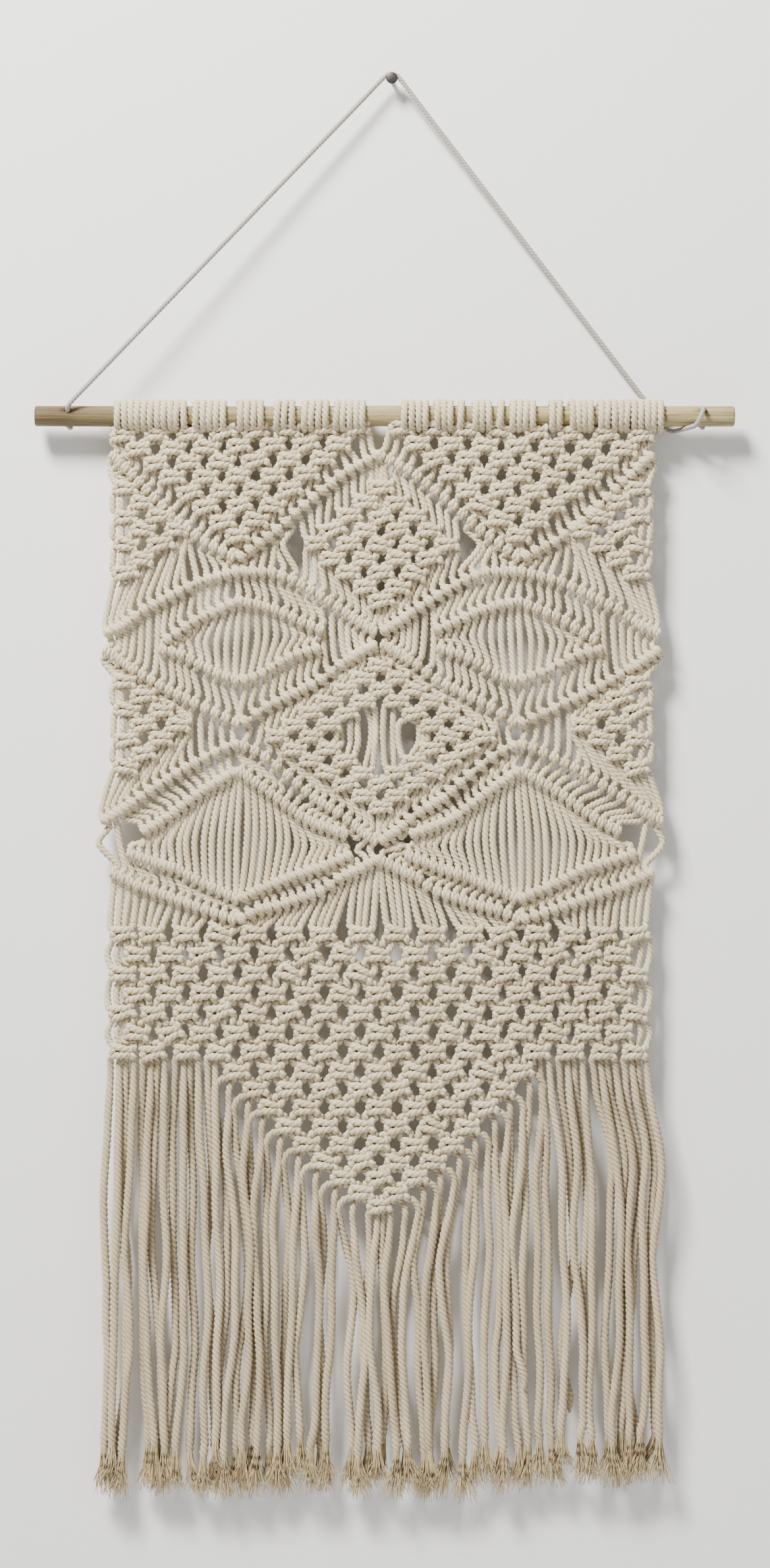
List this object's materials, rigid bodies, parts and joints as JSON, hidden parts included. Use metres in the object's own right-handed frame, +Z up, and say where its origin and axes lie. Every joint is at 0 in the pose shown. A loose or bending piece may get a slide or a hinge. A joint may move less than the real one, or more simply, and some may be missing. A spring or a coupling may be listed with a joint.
{
  "type": "macrame wall hanging on a wooden dowel with its nail",
  "caption": "Knotted cotton rope panel with open eyes, a V-shaped hem and a long fringe, on a drilled dowel that hangs by a cord from a round-headed nail.",
  "frame": {"origin": "centre of the nail's flat end, on the plane of the wall", "axes": "+Z up, +X to the viewer's right, +Y into the wall, so the front faces -Y"},
  "size_m": [0.4248, 0.0296, 0.8655],
  "materials": {
    "cotton_rope": "matt, three-ply twisted",
    "hanger_cotton": "matt, twisted",
    "dowel_wood": "satin",
    "nail_steel": "dark"
  },
  "bodies": {
    "root": {"knotted_panel": "cotton_rope", "fringe": "cotton_rope", "dowel": "dowel_wood", "nail": "nail_steel", "hanger_cord": "hanger_cotton", "stopper_knot_left": "hanger_cotton", "stopper_knot_right": "hanger_cotton"}
  },
  "joints": []
}
